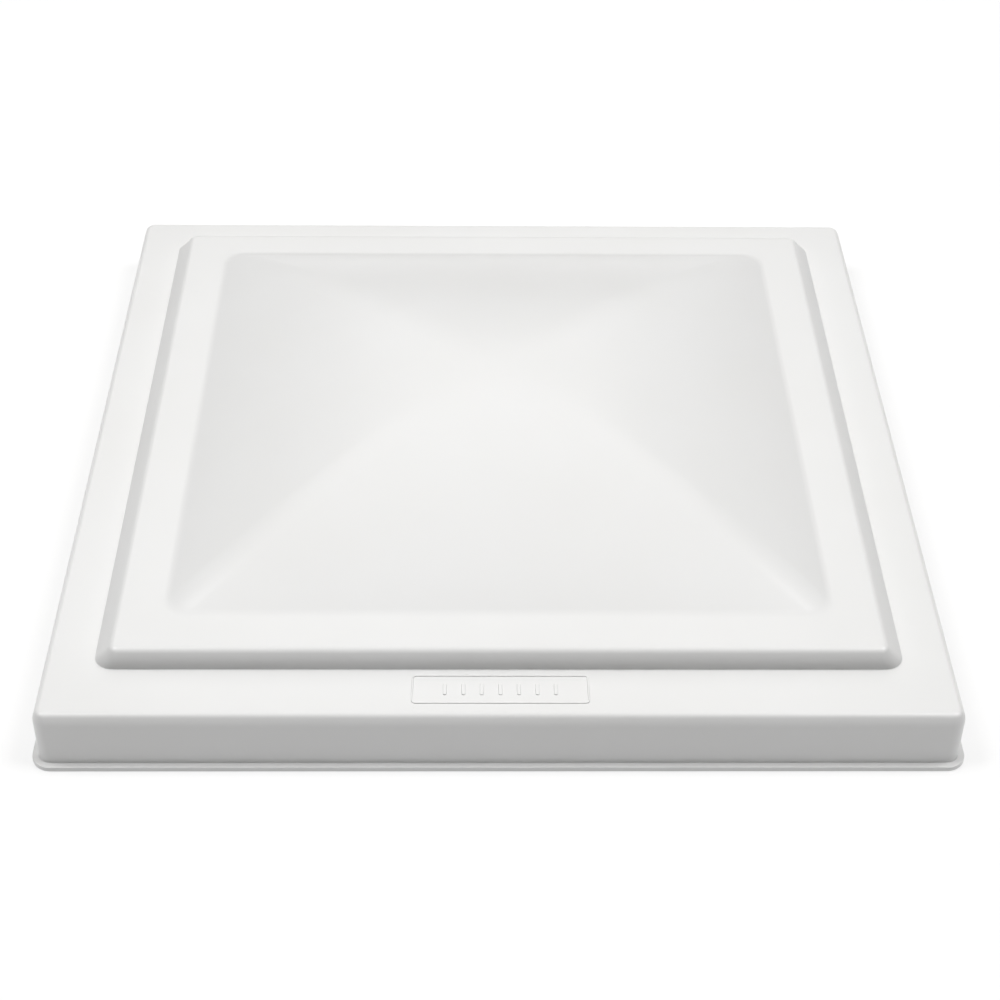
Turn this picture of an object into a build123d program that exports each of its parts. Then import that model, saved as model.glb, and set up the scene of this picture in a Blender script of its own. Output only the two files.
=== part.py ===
"""Lid of a square caravan roof vent, with its seals, rear hinge and lift track.

Millimetres, +Z up. The origin is the centre of the lid on the plane of its lip's underside.
The front of the lid is towards -Y and the hinge is towards +Y.
"""
import os
from math import asin, cos, radians, sin, sqrt, tan

from build123d import *

# ---------------------------------------------------------------- driving dimensions
LID_WIDTH = 406.4  # over the lip, a 16 in lid
WALL = 2.5  # moulded wall
CUT_THROUGH = 1.0  # how far a cutting solid runs past the face that it opens

LIP_REACH = 2.9  # how far the lip stands out from the skirt
LIP_THICK = 2.4
LIP_EDGE_RADIUS = 0.9
SKIRT_WIDTH = LID_WIDTH - 2 * LIP_REACH
SKIRT_CORNER_RADIUS = 6.0

BORDER_TOP = 29.7  # flat border round the raised panel
BORDER_EDGE_RADIUS = 5.4

PANEL_FOOT_X = 177.5  # foot of the raised panel's side walls
PANEL_FOOT_FRONT = -170.5  # set back from the front edge, which leaves room for the mark
PANEL_FOOT_REAR = 178.5
PANEL_SIDE_SLOPE = 50.0  # degrees from level; the side and rear walls lean in
PANEL_FRONT_SLOPE = 82.0
PANEL_TOP = 39.5
PANEL_EDGE_RADIUS = 3.5
PANEL_FOOT_CORNER_RADIUS = 8.5
PANEL_TOP_CORNER_RADIUS = 4.5

DOME_HALF_WIDTH = 148.0
DOME_CENTRE_Y = 3.0
DOME_RISE = 31.0
DOME_CORNER_RADIUS = 11.0
DOME_SECTIONS = 9
DOME_TOP_HALF_WIDTH = 12.5  # the last, nearly flat section

MARK_WIDTH = 77.0  # raised frame with plain bars on the front border
MARK_DEPTH = 17.4
MARK_CENTRE_Y = -182.8
MARK_LINE = 0.8
MARK_CORNER_RADIUS = 2.0
MARK_HEIGHT = 0.4
MARK_BARS = 7
MARK_BAR_PITCH = 8.0
MARK_BAR_SIZE = (1.6, 7.0)

SEAL_RIB_INNER = 177.6  # half width of the rib that locates the seal strips
SEAL_RIB_THICK = 1.2
SEAL_RIB_DEPTH = 3.0
SEAL_CENTRE = 185.0
SEAL_WIDTH = 12.0
SEAL_THICK = 6.0
SEAL_EDGE_RADIUS = 1.5

TRACK_CENTRE_Y = -25.0
TRACK_LENGTH = 150.0  # channel between the two mounting tabs
TRACK_WIDTH = 26.0
TRACK_HEIGHT = 12.0
TRACK_TOP = 43.0
TRACK_SHEET = 1.2
TRACK_SLOT = 14.0
TAB_LENGTH = 20.0
TAB_WIDTH = 40.0
TAB_CORNER_RADIUS = 3.0
TRACK_HOLE_CLEARANCE = 0.4  # of the tab's holes round the screws

SCREW_SPACING_X = 28.0
SCREW_SPACING_Y = TRACK_LENGTH + TAB_LENGTH
SCREW_RADIUS = 1.9
SCREW_REACH = 8.5  # from under the head to the tip
SCREW_HEAD_RADIUS = 4.0
SCREW_HEAD_HEIGHT = 2.4
SCREW_HEAD_ROUNDING = 1.2
SCREW_TIP_CHAMFER = 0.8
SCREW_RECESS = (4.6, 0.9, 1.2)  # length, width and depth of each bar of the cross recess
WASHER_THICK = 0.8
WASHER_RADIUS = 4.8
WASHER_HOLE_CLEARANCE = 0.3
BOSS_RADIUS = 4.5
BOSS_HOLE_DEPTH = 7.2
RIB_THICK = 1.8
RIB_LIFT = 1.0  # the ribs stop short of the track, which bears on the bosses alone

STOP_LENGTH = 8.0
BLOCK_LENGTH = 28.0
BLOCK_SIDE_GAP = 0.4
BLOCK_LIP_GAP = 0.3
BLOCK_CORNER_RADIUS = 1.5
NECK_INSET = 4.0  # the neck is shorter than the shoe at each end
LUG_THICK = 8.0
LUG_RADIUS = 6.0

PIVOT_Z = 24.5
PIVOT_RADIUS = 2.5
RUNNING_GAP = 0.05  # radial clearance of a pin in its bores
PIVOT_CHAMFER = 0.4
PIVOT_GROOVE_DEPTH = 0.5
PIVOT_END = 1.2  # how far the pin stands out past each clip
CLIP_THICK = 0.8
CLIP_END_GAP = 0.05  # between a clip and each side of its groove
CLIP_RADIUS = 4.6
CLIP_MOUTH = 3.4

EAR_THICK = 2.5
EAR_GAP = 0.4  # between an ear and the lug, and between an ear and its clip
EAR_RADIUS = 6.0
FOOT_LOW = 3.0  # underside of the bracket's foot
FOOT_LENGTH = 20.0
FOOT_BEND_RADIUS = 2.2
ARM_HOLE_RADIUS = 2.2
ARM_HOLE_SPACING = 10.0
ARM_HOLES_Y = -21.0

HINGE_LENGTH = 300.0
KNUCKLES = 7  # the lid's leaf has the odd ones, counted from one end
KNUCKLE_GAP = 0.6
HINGE_SHEET = 1.2
HINGE_PIN_RADIUS = 2.0
HINGE_PIN_CHAMFER = 0.3
HINGE_GAP = 0.08  # radial clearance of the rod in its rolled knuckles
HINGE_BORE_RADIUS = HINGE_PIN_RADIUS + HINGE_GAP
BARREL_RADIUS = HINGE_BORE_RADIUS + HINGE_SHEET
HINGE_Y = 207.2
HINGE_Z = BARREL_RADIUS
LID_LEAF_TOP = 23.0
LEAF_BEND_RADIUS = 1.7
LEAF_CORNER_RADIUS = 4.0
BASE_LEAF_REACH = 25.0  # from the hinge line to the leaf's rear edge
LEAF_NOTCH_REACH = 4.0
PIN_CAP_LENGTH = 3.0
PIN_CAP_COVER = 2.2  # how far the rod runs into each cap
PIN_CAP_GAP = 0.2  # between a cap and the end knuckle
PIN_CAP_INSET = 0.1  # how much smaller a cap is than the knuckles
PIN_CAP_ROUNDING = 0.5
PIN_CAP_BORE_GAP = 0.03

RIVET_PITCH = 60.0
RIVET_COUNT = 5
RIVET_Z = 15.0
RIVET_RADIUS = 1.6
RIVET_HOLE_RADIUS = 1.65
RIVET_HEAD_RADIUS = 3.2
RIVET_HEAD_HEIGHT = 1.1
RIVET_HEAD_ROUNDING = 0.8
RIVET_TAIL_RADIUS = 2.5
RIVET_TAIL_LENGTH = 1.4
RIVET_TAIL_ROUNDING = 0.6
RIVET_WASHER_RADIUS = 4.5
RIVET_WASHER_THICK = 0.8

BASE_HOLE_RADIUS = 2.2
BASE_HOLE_Y = 222.0
BASE_HOLE_XS = (-120.0, -40.0, 40.0, 120.0)

# ---------------------------------------------------------------- worked out from them
SKIRT_HALF = SKIRT_WIDTH / 2
SKIRT_INNER = SKIRT_HALF - WALL
BORDER_UNDER = BORDER_TOP - WALL
PANEL_UNDER = PANEL_TOP - WALL
DOME_RADIUS = (DOME_HALF_WIDTH**2 + DOME_RISE**2) / (2 * DOME_RISE)
DOME_ARC_CENTRE_Z = PANEL_TOP + DOME_RISE - DOME_RADIUS
DOME_TOP = PANEL_TOP + DOME_RISE

TRACK_BOTTOM = TRACK_TOP - TRACK_HEIGHT
TRACK_FRONT = TRACK_CENTRE_Y - TRACK_LENGTH / 2
TRACK_REAR = TRACK_CENTRE_Y + TRACK_LENGTH / 2
CHANNEL_HALF = TRACK_WIDTH / 2 - TRACK_SHEET  # inside of the channel's flanges
CHANNEL_LOW = TRACK_BOTTOM + TRACK_SHEET
CHANNEL_HIGH = TRACK_TOP - TRACK_SHEET
WASHER_LOW = CHANNEL_HIGH - WASHER_THICK
EAR_INNER = LUG_THICK / 2 + EAR_GAP
EAR_OUTER = EAR_INNER + EAR_THICK
CLIP_INNER_FACE = EAR_OUTER + EAR_GAP
GROOVE_OUTER_FACE = CLIP_INNER_FACE + CLIP_THICK + 2 * CLIP_END_GAP
LEAF_FACE = SKIRT_HALF + HINGE_SHEET


# ---------------------------------------------------------------- shared shapes
def box_between(low, high):
    """A plain block between two corners."""
    size = [b - a for a, b in zip(low, high)]
    middle = [(a + b) / 2 for a, b in zip(low, high)]
    return Pos(*middle) * Box(*size)


def rounded_block(width, corner, low, high):
    """A square block with rounded upright corners."""
    outline = Pos(0, 0, low) * RectangleRounded(width, width, corner)
    return extrude(outline, high - low)


def wall_lean(height, slope, wall):
    """How far a sloping wall has come in at a height, measured to the face that far inside it."""
    angle = radians(slope)
    return height / tan(angle) + wall / sin(angle)


def panel_outline(z, wall):
    """The raised panel's outline at one height, a wall's thickness in, before its edges are rounded."""
    height = z - BORDER_TOP
    side_lean = wall_lean(height, PANEL_SIDE_SLOPE, wall)
    half = PANEL_FOOT_X - side_lean
    front = PANEL_FOOT_FRONT + wall_lean(height, PANEL_FRONT_SLOPE, wall)
    rear = PANEL_FOOT_REAR - side_lean
    risen = height / (PANEL_TOP - BORDER_TOP)
    corner = PANEL_FOOT_CORNER_RADIUS + (PANEL_TOP_CORNER_RADIUS - PANEL_FOOT_CORNER_RADIUS) * risen
    corner -= wall / 2
    return Pos(0, (front + rear) / 2, z) * RectangleRounded(2 * half, rear - front, corner)


def panel_block(low, high, wall):
    """The raised panel as a solid frustum with a rounded top edge."""
    block = loft([panel_outline(low, wall), panel_outline(high, wall)], ruled=True)
    return round_top(block, PANEL_EDGE_RADIUS - wall)


def round_top(block, radius):
    """Round the edges of a block's top face."""
    top = block.faces().sort_by(Axis.Z)[-1]
    return fillet(top.edges(), radius)


def rod_x(radius, start, end, y, z):
    """A round rod along X."""
    return Pos((start + end) / 2, y, z) * Rot(0, 90, 0) * Cylinder(radius, end - start)


def rod_y(radius, start, end, x, z):
    """A round rod along Y."""
    return Pos(x, (start + end) / 2, z) * Rot(90, 0, 0) * Cylinder(radius, end - start)


def rod_z(radius, low, high, x, y):
    """A round rod along Z."""
    return Pos(x, y, (low + high) / 2) * Cylinder(radius, high - low)


def screw_places():
    """The four track screws, in plan."""
    return [
        (x, TRACK_CENTRE_Y + y)
        for y in (-SCREW_SPACING_Y / 2, SCREW_SPACING_Y / 2)
        for x in (-SCREW_SPACING_X / 2, SCREW_SPACING_X / 2)
    ]


def rivet_places():
    """The hinge rivets, along X."""
    first = -RIVET_PITCH * (RIVET_COUNT - 1) / 2
    return [first + RIVET_PITCH * i for i in range(RIVET_COUNT)]


# ---------------------------------------------------------------- the moulded lid
def vault(thickness, corner):
    """The pillow dome: rounded squares that shrink up a circular arc, offset inwards by thickness."""
    radius = DOME_RADIUS - thickness
    start_z = PANEL_TOP - thickness - CUT_THROUGH
    start = asin(sqrt(radius**2 - (start_z - DOME_ARC_CENTRE_Z) ** 2) / radius)
    end = asin(DOME_TOP_HALF_WIDTH / radius)
    outlines = []
    for i in range(DOME_SECTIONS):
        angle = start + (end - start) * i / (DOME_SECTIONS - 1)
        width = 2 * radius * sin(angle)
        z = DOME_ARC_CENTRE_Z + radius * cos(angle)
        outlines.append(Pos(0, DOME_CENTRE_Y, z) * RectangleRounded(width, width, corner))
    return loft(outlines)


def lid_outside():
    """The lid as if it were solid: lip, skirt, panel and dome."""
    lip = rounded_block(LID_WIDTH, SKIRT_CORNER_RADIUS + LIP_REACH, 0, LIP_THICK)
    flats = lip.faces().sort_by(Axis.Z)
    lip = fillet(flats[0].edges() + flats[-1].edges(), LIP_EDGE_RADIUS)
    skirt = rounded_block(SKIRT_WIDTH, SKIRT_CORNER_RADIUS, 0, BORDER_TOP)
    skirt = round_top(skirt, BORDER_EDGE_RADIUS)
    panel = panel_block(BORDER_TOP - CUT_THROUGH, PANEL_TOP, 0)
    return lip + skirt + panel + vault(0, DOME_CORNER_RADIUS)


def lid_hollow():
    """The space under the lid."""
    skirt = rounded_block(
        2 * SKIRT_INNER, SKIRT_CORNER_RADIUS - WALL, -CUT_THROUGH, BORDER_UNDER
    )
    skirt = round_top(skirt, BORDER_EDGE_RADIUS - WALL)
    panel = panel_block(BORDER_UNDER - CUT_THROUGH, PANEL_UNDER, WALL)
    return skirt + panel + vault(WALL, DOME_CORNER_RADIUS - WALL / 2)


def seal_rib():
    """A low square rib under the border, which the seal strips are laid against."""
    outer = SEAL_RIB_INNER + SEAL_RIB_THICK
    low = BORDER_UNDER - SEAL_RIB_DEPTH
    high = BORDER_UNDER + WALL / 2
    ring = rounded_block(2 * outer, SKIRT_CORNER_RADIUS, low, high)
    return ring - rounded_block(
        2 * SEAL_RIB_INNER, SKIRT_CORNER_RADIUS - SEAL_RIB_THICK, low, high
    )


def track_supports():
    """Four screw bosses and the two ribs that join them, up to the top of the dome."""
    supports = []
    for x, y in screw_places():
        supports.append(rod_z(BOSS_RADIUS, TRACK_TOP, DOME_TOP, x, y))
    for x in (-SCREW_SPACING_X / 2, SCREW_SPACING_X / 2):
        low = (x - RIB_THICK / 2, TRACK_CENTRE_Y - SCREW_SPACING_Y / 2, TRACK_TOP + RIB_LIFT)
        high = (x + RIB_THICK / 2, TRACK_CENTRE_Y + SCREW_SPACING_Y / 2, DOME_TOP)
        supports.append(box_between(low, high))
    return Part() + supports


def raised_mark():
    """A plain raised frame with upright bars on the front border."""
    outline = RectangleRounded(MARK_WIDTH, MARK_DEPTH, MARK_CORNER_RADIUS)
    shape = outline - offset(outline, -MARK_LINE)
    for i in range(MARK_BARS):
        x = (i - (MARK_BARS - 1) / 2) * MARK_BAR_PITCH
        shape += Pos(x, 0) * Rectangle(*MARK_BAR_SIZE)
    base = BORDER_TOP - WALL / 2
    return extrude(Pos(0, MARK_CENTRE_Y, base) * shape, MARK_HEIGHT + WALL / 2)


def lid_shell():
    """The one-piece moulding."""
    outside = lid_outside()
    shell = outside - lid_hollow()
    shell += track_supports() & outside
    shell += seal_rib()
    shell += raised_mark()
    for x, y in screw_places():
        hole_low = TRACK_TOP - CUT_THROUGH
        shell -= rod_z(SCREW_RADIUS + RUNNING_GAP, hole_low, TRACK_TOP + BOSS_HOLE_DEPTH, x, y)
    for x in rivet_places():
        inside = SKIRT_INNER - CUT_THROUGH
        shell -= rod_y(RIVET_HOLE_RADIUS, inside, SKIRT_HALF + CUT_THROUGH, x, RIVET_Z)
    return shell


# ---------------------------------------------------------------- seal strips
def seal_strip(length, along_x, centre):
    """One foam strip under the border, with its two lower long edges rounded."""
    size = (length, SEAL_WIDTH) if along_x else (SEAL_WIDTH, length)
    strip = Pos(*centre, BORDER_UNDER - SEAL_THICK / 2) * Box(*size, SEAL_THICK)
    low_edges = strip.faces().sort_by(Axis.Z)[0].edges()
    long_edges = low_edges.filter_by(Axis.X if along_x else Axis.Y)
    return fillet(long_edges, SEAL_EDGE_RADIUS)


def seals():
    """Front and rear strips run the full width, and the side strips fit between them."""
    full = 2 * SEAL_CENTRE + SEAL_WIDTH
    between = 2 * SEAL_CENTRE - SEAL_WIDTH
    return {
        "seal_front": seal_strip(full, True, (0, -SEAL_CENTRE)),
        "seal_rear": seal_strip(full, True, (0, SEAL_CENTRE)),
        "seal_left": seal_strip(between, False, (-SEAL_CENTRE, 0)),
        "seal_right": seal_strip(between, False, (SEAL_CENTRE, 0)),
    }


# ---------------------------------------------------------------- lift track
def lift_track():
    """C channel, open side down, with a screwed tab at each end."""
    half = TRACK_WIDTH / 2
    front = TRACK_FRONT - CUT_THROUGH
    rear = TRACK_REAR + CUT_THROUGH
    channel = box_between((-half, TRACK_FRONT, TRACK_BOTTOM), (half, TRACK_REAR, TRACK_TOP))
    channel = fillet(channel.edges().filter_by(Axis.Y), TRACK_SHEET)
    channel -= box_between((-CHANNEL_HALF, front, CHANNEL_LOW), (CHANNEL_HALF, rear, CHANNEL_HIGH))
    channel -= box_between(
        (-TRACK_SLOT / 2, front, TRACK_BOTTOM - CUT_THROUGH),
        (TRACK_SLOT / 2, rear, CHANNEL_LOW + CUT_THROUGH),
    )
    for y in (TRACK_FRONT - TAB_LENGTH / 2, TRACK_REAR + TAB_LENGTH / 2):
        tab = Pos(0, y, TRACK_TOP - TRACK_SHEET / 2) * Box(TAB_WIDTH, TAB_LENGTH, TRACK_SHEET)
        channel += fillet(tab.edges().filter_by(Axis.Z), TAB_CORNER_RADIUS)
    for x, y in screw_places():
        radius = SCREW_RADIUS + TRACK_HOLE_CLEARANCE
        channel -= rod_z(radius, CHANNEL_HIGH - CUT_THROUGH, TRACK_TOP + CUT_THROUGH, x, y)
    return channel


def track_stop(start, end):
    """A plug between the channel's flanges, with a neck in the slot."""
    plug = box_between((-CHANNEL_HALF, start, CHANNEL_LOW), (CHANNEL_HALF, end, CHANNEL_HIGH))
    neck = box_between((-TRACK_SLOT / 2, start, TRACK_BOTTOM), (TRACK_SLOT / 2, end, CHANNEL_LOW))
    return plug + neck


def track_screw(x, y):
    """Pan-head screw with a cross recess, pointing up."""
    head = rod_z(SCREW_HEAD_RADIUS, WASHER_LOW - SCREW_HEAD_HEIGHT, WASHER_LOW, x, y)
    head = fillet(head.faces().sort_by(Axis.Z)[0].edges(), SCREW_HEAD_ROUNDING)
    length, width, depth = SCREW_RECESS
    recess = Box(length, width, 2 * depth) + Box(width, length, 2 * depth)
    head -= Pos(x, y, WASHER_LOW - SCREW_HEAD_HEIGHT) * recess
    shank = rod_z(SCREW_RADIUS, WASHER_LOW, WASHER_LOW + SCREW_REACH, x, y)
    return head + chamfer(shank.faces().sort_by(Axis.Z)[-1].edges(), SCREW_TIP_CHAMFER)


def track_washer(x, y):
    """Flat washer under a screw head."""
    disc = rod_z(WASHER_RADIUS, WASHER_LOW, CHANNEL_HIGH, x, y)
    radius = SCREW_RADIUS + WASHER_HOLE_CLEARANCE
    return disc - rod_z(radius, WASHER_LOW - CUT_THROUGH, CHANNEL_HIGH + CUT_THROUGH, x, y)


# ---------------------------------------------------------------- slide block and bracket
def slide_block():
    """Nylon shoe that runs in the channel, with a lug below for the pivot pin."""
    half = CHANNEL_HALF - BLOCK_SIDE_GAP
    front = TRACK_CENTRE_Y - BLOCK_LENGTH / 2
    rear = TRACK_CENTRE_Y + BLOCK_LENGTH / 2
    low = CHANNEL_LOW + BLOCK_LIP_GAP
    shoe = box_between((-half, front, low), (half, rear, CHANNEL_HIGH - BLOCK_SIDE_GAP))
    shoe = fillet(shoe.edges().filter_by(Axis.Z), BLOCK_CORNER_RADIUS)
    neck_half = TRACK_SLOT / 2 - BLOCK_SIDE_GAP
    neck = box_between(
        (-neck_half, front + NECK_INSET, TRACK_BOTTOM), (neck_half, rear - NECK_INSET, low)
    )
    lug = box_between(
        (-LUG_THICK / 2, TRACK_CENTRE_Y - LUG_RADIUS, PIVOT_Z),
        (LUG_THICK / 2, TRACK_CENTRE_Y + LUG_RADIUS, low),
    )
    tip = rod_x(LUG_RADIUS, -LUG_THICK / 2, LUG_THICK / 2, TRACK_CENTRE_Y, PIVOT_Z)
    bore = rod_x(PIVOT_RADIUS + RUNNING_GAP, -LUG_THICK, LUG_THICK, TRACK_CENTRE_Y, PIVOT_Z)
    return shoe + neck + lug + tip - bore


def pivot_pin():
    """Plain pin with a clip groove near each end."""
    end = GROOVE_OUTER_FACE + PIVOT_END
    pin = rod_x(PIVOT_RADIUS, -end, end, TRACK_CENTRE_Y, PIVOT_Z)
    pin = chamfer(pin.edges().filter_by(GeomType.CIRCLE), PIVOT_CHAMFER)
    for side in (-1, 1):
        start, stop = sorted((side * CLIP_INNER_FACE, side * GROOVE_OUTER_FACE))
        groove = rod_x(PIVOT_RADIUS + CUT_THROUGH, start, stop, TRACK_CENTRE_Y, PIVOT_Z)
        core = rod_x(PIVOT_RADIUS - PIVOT_GROOVE_DEPTH, start, stop, TRACK_CENTRE_Y, PIVOT_Z)
        pin -= groove - core
    return pin


def pivot_clip(side):
    """Open retaining clip in a groove of the pivot pin."""
    inner = CLIP_INNER_FACE + CLIP_END_GAP
    start, stop = sorted((side * inner, side * (inner + CLIP_THICK)))
    disc = rod_x(CLIP_RADIUS, start, stop, TRACK_CENTRE_Y, PIVOT_Z)
    start -= CUT_THROUGH
    stop += CUT_THROUGH
    bore_radius = PIVOT_RADIUS - PIVOT_GROOVE_DEPTH + RUNNING_GAP
    disc -= rod_x(bore_radius, start, stop, TRACK_CENTRE_Y, PIVOT_Z)
    mouth = box_between(
        (start, TRACK_CENTRE_Y - CLIP_MOUTH / 2, PIVOT_Z - 2 * CLIP_RADIUS),
        (stop, TRACK_CENTRE_Y + CLIP_MOUTH / 2, PIVOT_Z),
    )
    return disc - mouth


def arm_bracket():
    """Steel U bracket on the pivot pin: two ears, and a foot with two holes for the lift arm."""
    foot_front = TRACK_CENTRE_Y - EAR_RADIUS
    foot_rear = foot_front + FOOT_LENGTH
    bracket = box_between(
        (-EAR_OUTER, foot_front, FOOT_LOW), (EAR_OUTER, foot_rear, FOOT_LOW + EAR_THICK)
    )
    for side in (-1, 1):
        start, stop = sorted((side * EAR_INNER, side * EAR_OUTER))
        bracket += rod_x(EAR_RADIUS, start, stop, TRACK_CENTRE_Y, PIVOT_Z)
        bracket += box_between(
            (start, foot_front, FOOT_LOW), (stop, TRACK_CENTRE_Y + EAR_RADIUS, PIVOT_Z)
        )
    low_edges = bracket.faces().sort_by(Axis.Z)[0].edges().filter_by(Axis.Y)
    bracket = fillet(low_edges, FOOT_BEND_RADIUS)
    past_ears = EAR_OUTER + CUT_THROUGH
    bracket -= rod_x(PIVOT_RADIUS + RUNNING_GAP, -past_ears, past_ears, TRACK_CENTRE_Y, PIVOT_Z)
    for y in (-ARM_HOLE_SPACING / 2, ARM_HOLE_SPACING / 2):
        bracket -= rod_z(ARM_HOLE_RADIUS, 0, FOOT_LOW + 2 * EAR_THICK, 0, ARM_HOLES_Y + y)
    return bracket


# ---------------------------------------------------------------- rear hinge
def knuckle_spans(remainder):
    """Start and end of every second knuckle along X."""
    pitch = HINGE_LENGTH / KNUCKLES
    starts = [-HINGE_LENGTH / 2 + pitch * i for i in range(KNUCKLES) if i % 2 == remainder]
    return [(start, start + pitch) for start in starts]


def along_hinge(face):
    """Extrude a Y-Z profile over the hinge's length."""
    profile = Plane(origin=(-HINGE_LENGTH / 2, 0, 0), x_dir=(0, 1, 0), z_dir=(1, 0, 0)) * face
    return extrude(profile, HINGE_LENGTH)


def cut_knuckles(leaf, spans, low_yz, high_yz):
    """Notch a leaf where the other leaf's knuckles turn."""
    for start, end in spans:
        start -= KNUCKLE_GAP / 2
        end += KNUCKLE_GAP / 2
        leaf -= box_between((start, *low_yz), (end, *high_yz))
    return leaf


def hinge_leaf_lid():
    """Leaf riveted to the rear skirt; it bends out over the lip to its knuckles."""
    leg_low = HINGE_Z + BARREL_RADIUS - HINGE_SHEET
    leg_high = HINGE_Z + BARREL_RADIUS
    outline = Polyline(
        (SKIRT_HALF, leg_low),
        (HINGE_Y, leg_low),
        (HINGE_Y, leg_high),
        (LEAF_FACE, leg_high),
        (LEAF_FACE, LID_LEAF_TOP),
        (SKIRT_HALF, LID_LEAF_TOP),
        close=True,
    )
    profile = make_face(outline)
    outer_bend = profile.vertices().sort_by_distance((SKIRT_HALF, leg_low))[0]
    profile = fillet(outer_bend, LEAF_BEND_RADIUS)
    profile = profile + Pos(HINGE_Y, HINGE_Z) * Circle(BARREL_RADIUS)
    profile = profile - Pos(HINGE_Y, HINGE_Z) * Circle(HINGE_BORE_RADIUS)
    leaf = along_hinge(profile)
    leaf = cut_knuckles(
        leaf,
        knuckle_spans(1),
        (LEAF_FACE, -CUT_THROUGH),
        (HINGE_Y + 2 * BARREL_RADIUS, leg_high + CUT_THROUGH),
    )
    for x in rivet_places():
        front = SKIRT_HALF - CUT_THROUGH
        leaf -= rod_y(RIVET_HOLE_RADIUS, front, LEAF_FACE + CUT_THROUGH, x, RIVET_Z)
    return leaf


def hinge_leaf_base():
    """Leaf that lies flat behind the lid and is screwed to the vent's base."""
    rear = HINGE_Y + BASE_LEAF_REACH
    plate = Pos((HINGE_Y + rear) / 2, HINGE_SHEET / 2) * Rectangle(BASE_LEAF_REACH, HINGE_SHEET)
    profile = plate + Pos(HINGE_Y, HINGE_Z) * Circle(BARREL_RADIUS)
    profile = profile - Pos(HINGE_Y, HINGE_Z) * Circle(HINGE_BORE_RADIUS)
    leaf = along_hinge(profile)
    leaf = cut_knuckles(
        leaf,
        knuckle_spans(0),
        (HINGE_Y - 2 * BARREL_RADIUS, -CUT_THROUGH),
        (HINGE_Y + LEAF_NOTCH_REACH, HINGE_Z + 2 * BARREL_RADIUS),
    )
    corners = leaf.faces().sort_by(Axis.Y)[-1].edges().filter_by(Axis.Z)
    leaf = fillet(corners, LEAF_CORNER_RADIUS)
    for x in BASE_HOLE_XS:
        leaf -= rod_z(BASE_HOLE_RADIUS, -CUT_THROUGH, HINGE_SHEET + CUT_THROUGH, x, BASE_HOLE_Y)
    return leaf


def hinge_pin():
    """The long hinge rod."""
    end = HINGE_LENGTH / 2 + PIN_CAP_COVER
    pin = rod_x(HINGE_PIN_RADIUS, -end, end, HINGE_Y, HINGE_Z)
    return chamfer(pin.edges().filter_by(GeomType.CIRCLE), HINGE_PIN_CHAMFER)


def hinge_pin_cap(side):
    """Push cap on one end of the rod."""
    hinge_end = HINGE_LENGTH / 2
    start, stop = sorted((side * (hinge_end + PIN_CAP_GAP), side * (hinge_end + PIN_CAP_LENGTH)))
    cap = rod_x(BARREL_RADIUS - PIN_CAP_INSET, start, stop, HINGE_Y, HINGE_Z)
    outer_face = cap.faces().sort_by(Axis.X)[-1 if side > 0 else 0]
    cap = fillet(outer_face.edges(), PIN_CAP_ROUNDING)
    start, stop = sorted((side * hinge_end, side * (hinge_end + PIN_CAP_COVER)))
    return cap - rod_x(HINGE_PIN_RADIUS + PIN_CAP_BORE_GAP, start, stop, HINGE_Y, HINGE_Z)


def hinge_rivet(x):
    """Domed rivet through the leaf, the skirt and a backing washer."""
    washer_face = SKIRT_INNER - RIVET_WASHER_THICK
    head = rod_y(RIVET_HEAD_RADIUS, LEAF_FACE, LEAF_FACE + RIVET_HEAD_HEIGHT, x, RIVET_Z)
    head = fillet(head.faces().sort_by(Axis.Y)[-1].edges(), RIVET_HEAD_ROUNDING)
    shank = rod_y(RIVET_RADIUS, washer_face, LEAF_FACE, x, RIVET_Z)
    tail = rod_y(RIVET_TAIL_RADIUS, washer_face - RIVET_TAIL_LENGTH, washer_face, x, RIVET_Z)
    tail = fillet(tail.faces().sort_by(Axis.Y)[0].edges(), RIVET_TAIL_ROUNDING)
    return head + shank + tail


def rivet_washer(x):
    """Backing washer inside the skirt."""
    face = SKIRT_INNER - RIVET_WASHER_THICK
    disc = rod_y(RIVET_WASHER_RADIUS, face, SKIRT_INNER, x, RIVET_Z)
    return disc - rod_y(RIVET_HOLE_RADIUS, face - CUT_THROUGH, SKIRT_INNER + CUT_THROUGH, x, RIVET_Z)


# ---------------------------------------------------------------- the assembly
def assembly():
    """Every node of the lid, by name."""
    nodes = {"lid_shell": lid_shell()}
    nodes.update(seals())
    nodes["lift_track"] = lift_track()
    nodes["track_stop_front"] = track_stop(TRACK_FRONT, TRACK_FRONT + STOP_LENGTH)
    nodes["track_stop_rear"] = track_stop(TRACK_REAR - STOP_LENGTH, TRACK_REAR)
    nodes["track_screws"] = Compound(children=[track_screw(x, y) for x, y in screw_places()])
    nodes["track_washers"] = Compound(children=[track_washer(x, y) for x, y in screw_places()])
    nodes["slide_block"] = slide_block()
    nodes["pivot_pin"] = pivot_pin()
    nodes["pivot_clips"] = Compound(children=[pivot_clip(side) for side in (-1, 1)])
    nodes["arm_bracket"] = arm_bracket()
    nodes["hinge_leaf_lid"] = hinge_leaf_lid()
    nodes["hinge_leaf_base"] = hinge_leaf_base()
    nodes["hinge_pin"] = hinge_pin()
    nodes["hinge_pin_caps"] = Compound(children=[hinge_pin_cap(side) for side in (-1, 1)])
    nodes["hinge_rivets"] = Compound(children=[hinge_rivet(x) for x in rivet_places()])
    nodes["rivet_washers"] = Compound(children=[rivet_washer(x) for x in rivet_places()])
    return nodes


os.makedirs("parts", exist_ok=True)
for name, shape in assembly().items():
    export_step(shape, f"parts/{name}.step")
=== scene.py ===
"""Looks of the roof vent lid: a moulded white cover, foam seals and plated steel hardware."""
import math

import bmesh
import bpy
from mathutils import Euler, Matrix, Vector


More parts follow.
